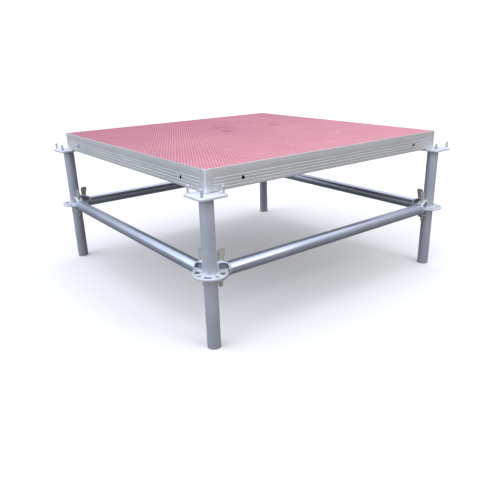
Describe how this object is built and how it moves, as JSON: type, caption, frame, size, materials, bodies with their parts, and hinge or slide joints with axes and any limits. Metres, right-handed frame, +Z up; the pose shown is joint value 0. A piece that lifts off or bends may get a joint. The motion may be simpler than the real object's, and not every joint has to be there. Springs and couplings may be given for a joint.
{
  "type": "stage riser platform",
  "caption": "Square aluminium-framed stage deck with an anti-slip panel on tubular legs, which ledgers join by wedges at rosettes.",
  "frame": {"origin": "on the floor, under the middle of the square deck", "axes": "+Z up out of the deck, +X along the front rail towards the right leg, +Y from the front rail to the back rail"},
  "size_m": [1.344, 1.344, 0.627],
  "materials": {
    "tube_steel": "galvanised, satin, faintly mottled",
    "plate_steel": "galvanised plate, brighter than the tubes",
    "pin_steel": "galvanised bar",
    "rosette_steel": "galvanised pressing",
    "cast_head": "galvanised casting, grainy",
    "wedge_steel": "dull zinc, warm grey",
    "rivet_steel": "yellow passivated zinc",
    "rail_aluminium": "mill-finish extrusion",
    "post_aluminium": "cast and ground, brighter at the edge",
    "beam_aluminium": "mill-finish extrusion",
    "deck_film": "plywood with a pressed anti-slip film",
    "screw_steel": "zinc plated"
  },
  "bodies": {
    "understructure": {"leg_tube_front_left": "tube_steel", "head_plate_front_left": "plate_steel", "locating_pins_front_left": "pin_steel", "rosette_front_left": "rosette_steel", "leg_tube_front_right": "tube_steel", "head_plate_front_right": "plate_steel", "locating_pins_front_right": "pin_steel", "rosette_front_right": "rosette_steel", "leg_tube_back_right": "tube_steel", "head_plate_back_right": "plate_steel", "locating_pins_back_right": "pin_steel", "rosette_back_right": "rosette_steel", "leg_tube_back_left": "tube_steel", "head_plate_back_left": "plate_steel", "locating_pins_back_left": "pin_steel", "rosette_back_left": "rosette_steel", "ledger_tube_front": "tube_steel", "front_ledger_left_head": "cast_head", "front_ledger_right_head": "cast_head", "ledger_tube_right": "tube_steel", "right_ledger_front_head": "cast_head", "right_ledger_back_head": "cast_head", "ledger_tube_back": "tube_steel", "back_ledger_right_head": "cast_head", "back_ledger_left_head": "cast_head", "ledger_tube_left": "tube_steel", "left_ledger_back_head": "cast_head", "left_ledger_front_head": "cast_head"},
    "deck": {"edge_rail_front": "rail_aluminium", "edge_rail_right": "rail_aluminium", "edge_rail_back": "rail_aluminium", "edge_rail_left": "rail_aluminium", "corner_post_front_left": "post_aluminium", "corner_post_front_right": "post_aluminium", "corner_post_back_right": "post_aluminium", "corner_post_back_left": "post_aluminium", "pin_sockets": "post_aluminium", "cross_beam_front": "beam_aluminium", "cross_beam_middle": "beam_aluminium", "cross_beam_back": "beam_aluminium", "deck_panel": "deck_film", "deck_screws": "screw_steel"},
    "front_ledger_left_wedge_body": {"front_ledger_left_wedge": "wedge_steel", "front_ledger_left_rivet": "rivet_steel"},
    "front_ledger_right_wedge_body": {"front_ledger_right_wedge": "wedge_steel", "front_ledger_right_rivet": "rivet_steel"},
    "right_ledger_front_wedge_body": {"right_ledger_front_wedge": "wedge_steel", "right_ledger_front_rivet": "rivet_steel"},
    "right_ledger_back_wedge_body": {"right_ledger_back_wedge": "wedge_steel", "right_ledger_back_rivet": "rivet_steel"},
    "back_ledger_right_wedge_body": {"back_ledger_right_wedge": "wedge_steel", "back_ledger_right_rivet": "rivet_steel"},
    "back_ledger_left_wedge_body": {"back_ledger_left_wedge": "wedge_steel", "back_ledger_left_rivet": "rivet_steel"},
    "left_ledger_back_wedge_body": {"left_ledger_back_wedge": "wedge_steel", "left_ledger_back_rivet": "rivet_steel"},
    "left_ledger_front_wedge_body": {"left_ledger_front_wedge": "wedge_steel", "left_ledger_front_rivet": "rivet_steel"}
  },
  "joints": [
    {"name": "front_ledger_left_wedge_lift", "type": "slide", "parent": "understructure", "child": "front_ledger_left_wedge_body", "axis": [0, 0, 1], "range_m": [0, 0.076]},
    {"name": "front_ledger_right_wedge_lift", "type": "slide", "parent": "understructure", "child": "front_ledger_right_wedge_body", "axis": [0, 0, 1], "range_m": [0, 0.076]},
    {"name": "right_ledger_front_wedge_lift", "type": "slide", "parent": "understructure", "child": "right_ledger_front_wedge_body", "axis": [0, 0, 1], "range_m": [0, 0.076]},
    {"name": "right_ledger_back_wedge_lift", "type": "slide", "parent": "understructure", "child": "right_ledger_back_wedge_body", "axis": [0, 0, 1], "range_m": [0, 0.076]},
    {"name": "back_ledger_right_wedge_lift", "type": "slide", "parent": "understructure", "child": "back_ledger_right_wedge_body", "axis": [0, 0, 1], "range_m": [0, 0.076]},
    {"name": "back_ledger_left_wedge_lift", "type": "slide", "parent": "understructure", "child": "back_ledger_left_wedge_body", "axis": [0, 0, 1], "range_m": [0, 0.076]},
    {"name": "left_ledger_back_wedge_lift", "type": "slide", "parent": "understructure", "child": "left_ledger_back_wedge_body", "axis": [0, 0, 1], "range_m": [0, 0.076]},
    {"name": "left_ledger_front_wedge_lift", "type": "slide", "parent": "understructure", "child": "left_ledger_front_wedge_body", "axis": [0, 0, 1], "range_m": [0, 0.076]},
    {"name": "deck_lift", "type": "slide", "parent": "understructure", "child": "deck", "axis": [0, 0, 1], "range_m": [0, 0.06]}
  ]
}
